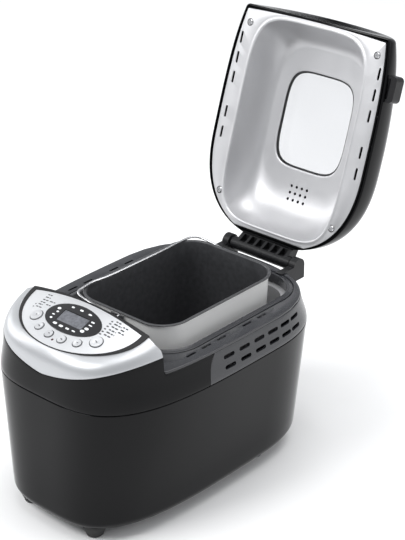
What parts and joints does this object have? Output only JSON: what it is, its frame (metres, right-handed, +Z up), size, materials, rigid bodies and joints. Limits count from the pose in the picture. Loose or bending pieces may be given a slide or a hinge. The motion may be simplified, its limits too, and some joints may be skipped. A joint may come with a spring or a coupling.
{
  "type": "bread machine",
  "caption": "Counter-top bread machine with a hinged windowed lid, lift-out pan with bail, twin kneading paddles on a belt drive, and a sloping push-button panel.",
  "frame": {"origin": "on the supporting surface, under the middle of the body: halfway across, 201 mm in front of the lid's hinge line", "axes": "+Z up, -Y towards the user (control panel), +X to the machine's right as seen from the front, parallel to the hinge line"},
  "size_m": [0.2736, 0.5504, 0.519],
  "materials": {
    "rubber": "matt black rubber",
    "black_gloss": "polished black moulding",
    "black_matt": "fine-textured black moulding",
    "grey_moulding": "satin dark grey moulding",
    "silver_trim": "bright silver, semi-gloss",
    "brushed_plate": "fine satin silver",
    "display_black": "clear gloss over black",
    "display_cell": "pale grey display face",
    "signal_red": "tinted lens",
    "circuit_green": "solder mask",
    "switch_black": "plain",
    "key_silver": "soft bright silver",
    "liner_metal": "satin sheet metal",
    "heater_steel": "dull dark tube",
    "ceramic": "off-white",
    "brass": "turned brass",
    "steel": "bright steel",
    "chassis_metal": "zinc-plated sheet",
    "pan_metal": "satin outside, dark non-stick coat inside",
    "paddle_coat": "dark non-stick coat",
    "clear_glass": "clear, slightly hazy"
  },
  "bodies": {
    "housing": {"rubber_feet": "rubber", "base_plate": "black_matt", "lower_housing": "black_gloss", "upper_housing": "black_gloss", "vent_grille_right": "grey_moulding", "vent_grille_left": "grey_moulding", "deck": "grey_moulding", "silver_bezel": "silver_trim", "panel_frame": "black_matt", "control_plate": "brushed_plate", "display_lens": "display_black", "lcd_module": "display_cell", "status_light": "signal_red", "control_board": "circuit_green", "key_switches": "switch_black", "chamber_liner": "liner_metal", "heating_element": "heater_steel", "heater_bushes": "ceramic", "temperature_sensor": "steel", "thermal_fuse": "brass", "pan_seat": "liner_metal", "chassis_frame": "chassis_metal", "chamber_spacers": "ceramic", "chassis_screws": "steel", "shaft_bushes": "brass", "motor_body": "chassis_metal", "motor_capacitor": "ceramic", "power_board": "circuit_green", "cord_gland": "black_matt", "motor_belt": "rubber", "cross_belt": "rubber", "hinge_brackets": "black_matt", "hinge_pins": "steel"},
    "lid": {"hinge_arm": "black_matt", "lid_shell": "black_gloss", "lid_liner": "liner_metal", "lid_inner_glass": "clear_glass", "lid_outer_glass": "clear_glass", "window_gasket": "rubber", "lid_screws": "steel", "lid_handle": "black_matt"},
    "pan": {"bread_pan": "pan_metal", "pan_foot": "pan_metal", "bail_ears": "steel"},
    "bail": {"bail_handle": "steel"},
    "front_pan_drive": {"front_pan_shaft": "steel"},
    "rear_pan_drive": {"rear_pan_shaft": "steel"},
    "front_kneader": {"front_paddle": "paddle_coat"},
    "rear_kneader": {"rear_paddle": "paddle_coat"},
    "front_drive": {"front_drive_shaft": "steel"},
    "rear_drive": {"rear_drive_shaft": "steel"},
    "motor_rotor": {"motor_pulley": "steel"},
    "key_program": {"button_program": "key_silver"},
    "key_weight": {"button_weight": "key_silver"},
    "key_time_up": {"button_time_up": "key_silver"},
    "key_time_down": {"button_time_down": "key_silver"},
    "key_crust": {"button_crust": "key_silver"},
    "key_start": {"button_start": "key_silver"}
  },
  "joints": [
    {"name": "lid_hinge", "type": "hinge", "parent": "housing", "child": "lid", "pos_m": [0, 0.201, 0.223], "axis": [-1, 0, 0], "range_deg": [-108, 0]},
    {"name": "pan_lift", "type": "slide", "parent": "housing", "child": "pan", "axis": [0, 0, 1], "range_m": [0, 0.15]},
    {"name": "bail_swing", "type": "hinge", "parent": "pan", "child": "bail", "pos_m": [0, 0.035, 0.237], "axis": [0, 1, 0], "range_deg": [0, 164]},
    {"name": "front_drive_spin", "type": "hinge", "parent": "housing", "child": "front_drive", "pos_m": [0, -0.02, 0.05], "axis": [0, 0, 1], "continuous": true},
    {"name": "rear_drive_spin", "type": "hinge", "parent": "housing", "child": "rear_drive", "pos_m": [0, 0.09, 0.05], "axis": [0, 0, 1], "continuous": true},
    {"name": "motor_spin", "type": "hinge", "parent": "housing", "child": "motor_rotor", "pos_m": [0, -0.14, 0.05], "axis": [0, 0, 1], "continuous": true},
    {"name": "front_pan_spin", "type": "hinge", "parent": "pan", "child": "front_pan_drive", "pos_m": [0, -0.02, 0.05], "axis": [0, 0, 1], "continuous": true},
    {"name": "rear_pan_spin", "type": "hinge", "parent": "pan", "child": "rear_pan_drive", "pos_m": [0, 0.09, 0.05], "axis": [0, 0, 1], "continuous": true},
    {"name": "front_paddle_lift", "type": "slide", "parent": "front_pan_drive", "child": "front_kneader", "axis": [0, 0, 1], "range_m": [0, 0.1]},
    {"name": "rear_paddle_lift", "type": "slide", "parent": "rear_pan_drive", "child": "rear_kneader", "axis": [0, 0, 1], "range_m": [0, 0.1]},
    {"name": "key_program_press", "type": "slide", "parent": "housing", "child": "key_program", "axis": [-0.1, -0.3403, 0.935], "range_m": [-0.0012, 0], "stiffness_N_per_m": 300, "springref_m": 0.002},
    {"name": "key_weight_press", "type": "slide", "parent": "housing", "child": "key_weight", "axis": [-0.063, -0.3413, 0.9378], "range_m": [-0.0012, 0], "stiffness_N_per_m": 300, "springref_m": 0.002},
    {"name": "key_time_up_press", "type": "slide", "parent": "housing", "child": "key_time_up", "axis": [-0.021, -0.3419, 0.9395], "range_m": [-0.0012, 0], "stiffness_N_per_m": 300, "springref_m": 0.002},
    {"name": "key_time_down_press", "type": "slide", "parent": "housing", "child": "key_time_down", "axis": [0.021, -0.3419, 0.9395], "range_m": [-0.0012, 0], "stiffness_N_per_m": 300, "springref_m": 0.002},
    {"name": "key_crust_press", "type": "slide", "parent": "housing", "child": "key_crust", "axis": [0.063, -0.3413, 0.9378], "range_m": [-0.0012, 0], "stiffness_N_per_m": 300, "springref_m": 0.002},
    {"name": "key_start_press", "type": "slide", "parent": "housing", "child": "key_start", "axis": [0.1, -0.3403, 0.935], "range_m": [-0.0012, 0], "stiffness_N_per_m": 300, "springref_m": 0.002}
  ],
  "couplings": [
    {"joint": "rear_drive_spin", "follows": "front_drive_spin", "ratio": 1},
    {"joint": "motor_spin", "follows": "front_drive_spin", "ratio": 5},
    {"joint": "front_pan_spin", "follows": "front_drive_spin", "ratio": 1},
    {"joint": "rear_pan_spin", "follows": "front_drive_spin", "ratio": 1}
  ]
}
